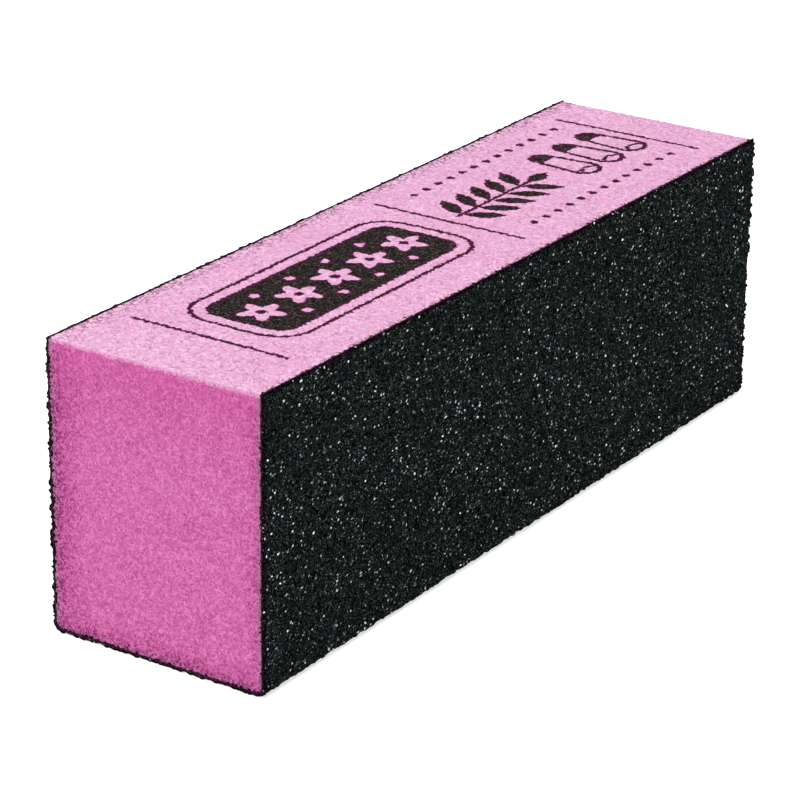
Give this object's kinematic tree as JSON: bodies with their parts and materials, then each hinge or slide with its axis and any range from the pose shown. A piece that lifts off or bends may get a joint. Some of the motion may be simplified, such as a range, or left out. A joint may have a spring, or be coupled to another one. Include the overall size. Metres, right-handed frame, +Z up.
{
  "type": "nail buffer block",
  "caption": "Rectangular foam block with black abrasive grit on both long sides and the underside, a bare skin on top and cut foam ends.",
  "frame": {"origin": "centre of the underside, on the face of the bottom grit", "axes": "+Y along the block's length, from the end that the picture shows to the far end; +X across, towards the right grit face; +Z up, out of the bare top face"},
  "size_m": [0.026, 0.095, 0.0312],
  "materials": {
    "foam_pink": "cut open-cell foam, matt, vivid pink",
    "skin_pink": "closed foam skin, matt, pale pink",
    "bond_black": "black resin, satin",
    "grit_black": "silicon carbide grit in black resin, rough"
  },
  "bodies": {
    "root": {"foam_core": "foam_pink", "top_skin": "skin_pink", "left_bond_coat": "bond_black", "right_bond_coat": "bond_black", "bottom_bond_coat": "bond_black", "left_grit": "grit_black", "right_grit": "grit_black", "bottom_grit": "grit_black"}
  },
  "joints": []
}
